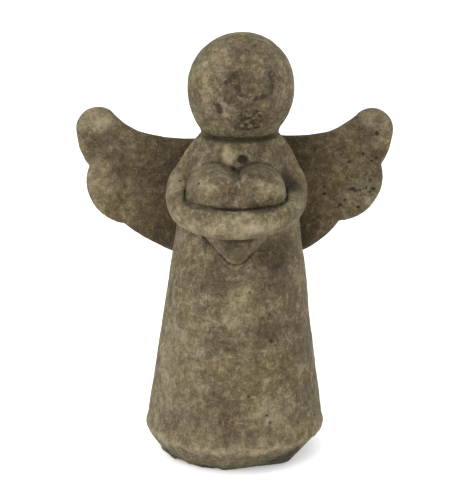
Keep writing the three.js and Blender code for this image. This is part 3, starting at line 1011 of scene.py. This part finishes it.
def stoneware():
    """Matte, mottled brown-grey stoneware with cream specks, dark stains and pits, and painted
    shade and highlights.
    """
    n = Nodes("stoneware")
    where = n.add("ShaderNodeTexCoord").outputs["Object"]
    coarse = n.noise(where, 95, 3, 0.55, 0.3)
    mottle = n.noise(where, 300, 4, 0.62, 0.5)
    grain = n.noise(where, 900, 3, 0.6)
    streak = n.noise(where, 210, 4, 0.7, 1.6)
    speck = n.noise(where, 1300, 1, 0.5)

    # The clay's own mottling, then its tinges, its painted shade and stains, its pale places with
    # painted light, and its worn edges with painted highlight.
    tone = n.total((coarse, 0.3), (mottle, 0.44), (grain, 0.26))
    colour = n.ramp(
        tone,
        (0.38, srgb(58, 49, 34)),
        (0.46, srgb(76, 66, 48)),
        (0.52, srgb(91, 80, 61)),
        (0.60, srgb(119, 108, 84)),
    )
    ochre = n.total((n.between(n.noise(where, 60, 3), 0.5, 0.66), 0.6), (n.mark("ochre"), 0.7))
    colour = n.mix(ochre, colour, (1.0, 0.95, 0.74, 1), "MULTIPLY")
    mauve = n.total((n.between(n.noise(where, 44, 3), 0.5, 0.64), 0.5), (n.mark("mauve"), 0.7))
    colour = n.mix(mauve, colour, (0.92, 0.86, 0.92, 1), "MULTIPLY")
    olive = n.between(n.noise(where, 34, 4), 0.52, 0.64, 0.0, 0.7)
    colour = n.mix(olive, colour, (0.9, 0.95, 0.8, 1), "MULTIPLY")
    # Painted shade where shadow falls, with dark stains.
    colour = n.mix(n.mark("shade_and_stains"), colour, (0.46, 0.42, 0.34, 1), "MULTIPLY")
    # Pale places: wear and dust, with painted light and highlight.
    pale_and_highlight = n.math("MULTIPLY", n.mark("pale_and_highlight"), n.between(tone, 0.4, 0.56, 0.3, 0.65))
    colour = n.mix(pale_and_highlight, colour, srgb(149, 138, 111))
    # Worn edges, lightened as wear and painted highlight.
    colour = n.mix(n.math("MULTIPLY", n.mark("edge"), 0.4), colour, srgb(112, 109, 93))

    # Light and dark streaks, specks and flecks.
    colour = n.mix(n.between(streak, 0.58, 0.68, 0.0, 0.3), colour, srgb(134, 125, 104))
    colour = n.mix(n.between(streak, 0.4, 0.32, 0.0, 0.35), colour, srgb(60, 50, 35))
    colour = n.mix(n.between(speck, 0.68, 0.78, 0.0, 0.35), colour, srgb(150, 142, 122))
    colour = n.mix(n.between(speck, 0.34, 0.26, 0.0, 0.4), colour, srgb(43, 36, 25))
    fleck = n.noise(where, 760, 2, 0.5, 2.5)
    colour = n.mix(n.between(fleck, 0.62, 0.7, 0.0, 0.35), colour, srgb(134, 124, 100))
    colour = n.mix(n.between(fleck, 0.38, 0.3, 0.0, 0.35), colour, srgb(56, 47, 33))

    # Light and dark stains with ragged edges, some of them painted highlight and shadow, the dirty
    # foot, painted shade in hollows, pits and fine holes.
    ragged = n.noise(where, 560, 3, 0.65, 0.4)
    # Light strokes: pale scratches and painted highlights.
    light = n.between(n.total((n.mark("light"), 1.0), (ragged, 3.0)), 1.75, 2.6, 0.0, 0.5)
    colour = n.mix(light, colour, srgb(136, 127, 105))
    # Dark stains, with painted shadow on the foot, round the heart and under the arms' band.
    stains_and_shadows = n.between(n.total((n.mark("stains_and_shadows"), 1.0), (ragged, 2.6)), 1.3, 2.7, 0.0, 0.9)
    colour = n.mix(stains_and_shadows, colour, srgb(33, 26, 20))
    foot = n.math("MULTIPLY", n.mark("foot"), 0.75)
    colour = n.mix(foot, colour, (0.74, 0.78, 0.66, 1), "MULTIPLY")
    # Painted shade in hollows and creases.
    colour = n.mix(n.math("MULTIPLY", n.mark("hollow_shade"), 0.75), colour, srgb(36, 30, 20))
    colour = n.mix(n.math("MULTIPLY", n.mark("pit"), 0.9), colour, srgb(26, 19, 11))
    holes = n.between(n.noise(where, 520, 2, 0.5, 1.2), 0.45, 0.4)
    holes = n.math("MULTIPLY", holes, n.mark("pitted"))
    colour = n.mix(n.math("MULTIPLY", holes, 0.9), colour, srgb(30, 24, 16))

    height = n.total((mottle, 0.6), (grain, 0.7), (speck, 0.3), (streak, 0.3), (holes, -0.8))
    bump = n.add("ShaderNodeBump", {"Height": height, "Strength": 0.5, "Distance": 0.0006})
    values = {"Base Color": colour, "Roughness": 0.92, "Specular IOR Level": 0.25}
    values |= {"Sheen Weight": 0.05, "Sheen Roughness": 0.5, "Sheen Tint": srgb(200, 210, 150)}
    shader = n.add("ShaderNodeBsdfPrincipled", {**values, "Normal": bump.outputs["Normal"]})
    n.add("ShaderNodeOutputMaterial", {"Surface": shader.outputs["BSDF"]})
    return n.material


figurine = build_figurine()
mark_surface(figurine)
figurine.data.materials.append(stoneware())
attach(figurine, "root")
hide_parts("angel_figurine")


# Floor, light and camera, in metres, watts and millimetres of lens.
FLOOR_HALF = 3.0
FLOOR_GLOW = 0.25
KEY_POWER = 14.0
FILL_POWER = 2.0
LIGHT_TARGET = (0, 0, 0.12)
SKY_STRENGTH = 1.24
CAMERA_PLACE = Vector((0.00072, -0.8, 0.34376))
CAMERA_TARGET = Vector((0.00072, 0.0, 0.12295))
CAMERA_LENS = 101.82


def glowing_white(name):
    """A white floor that gives a little light of its own, so that shadows on it stay faint."""
    n = Nodes(name)
    values = {"Base Color": srgb(250, 250, 250), "Roughness": 0.9}
    values |= {"Emission Color": (1, 1, 1, 1), "Emission Strength": FLOOR_GLOW}
    shader = n.add("ShaderNodeBsdfPrincipled", values)
    n.add("ShaderNodeOutputMaterial", {"Surface": shader.outputs["BSDF"]})
    return n.material


corners = np.array([(-1, -1, 0), (1, -1, 0), (1, 1, 0), (-1, 1, 0)]) * FLOOR_HALF
floor = mesh_object("floor", corners, np.array([[0, 1, 2, 3]]))
floor.data.materials.append(glowing_white("floor_white"))


def area_light(name, place, size, power):
    """A square light that faces the figurine."""
    light = bpy.data.lights.new(name, "AREA")
    light.size = size
    light.energy = power
    obj = bpy.data.objects.new(name, light)
    obj.location = place
    obj.rotation_euler = (Vector(LIGHT_TARGET) - Vector(place)).to_track_quat("-Z", "Y").to_euler()
    bpy.context.scene.collection.objects.link(obj)


area_light("key", (-0.7, -1.05, 1.05), 1.0, KEY_POWER)
area_light("fill", (0.95, -0.9, 0.55), 0.9, FILL_POWER)

scene = bpy.context.scene
world = bpy.data.worlds.new("studio")
world.use_nodes = True
sky = world.node_tree.nodes["Background"]
sky.inputs["Color"].default_value = (1, 1, 1, 1)
sky.inputs["Strength"].default_value = SKY_STRENGTH
scene.world = world
scene.view_settings.view_transform = "Standard"

camera_data = bpy.data.cameras.new("camera")
camera_data.sensor_fit = "VERTICAL"
camera_data.sensor_height = 36
camera_data.lens = CAMERA_LENS
camera = bpy.data.objects.new("camera", camera_data)
camera.location = CAMERA_PLACE
camera.rotation_euler = (CAMERA_TARGET - CAMERA_PLACE).to_track_quat("-Z", "Y").to_euler()
scene.collection.objects.link(camera)
scene.camera = camera
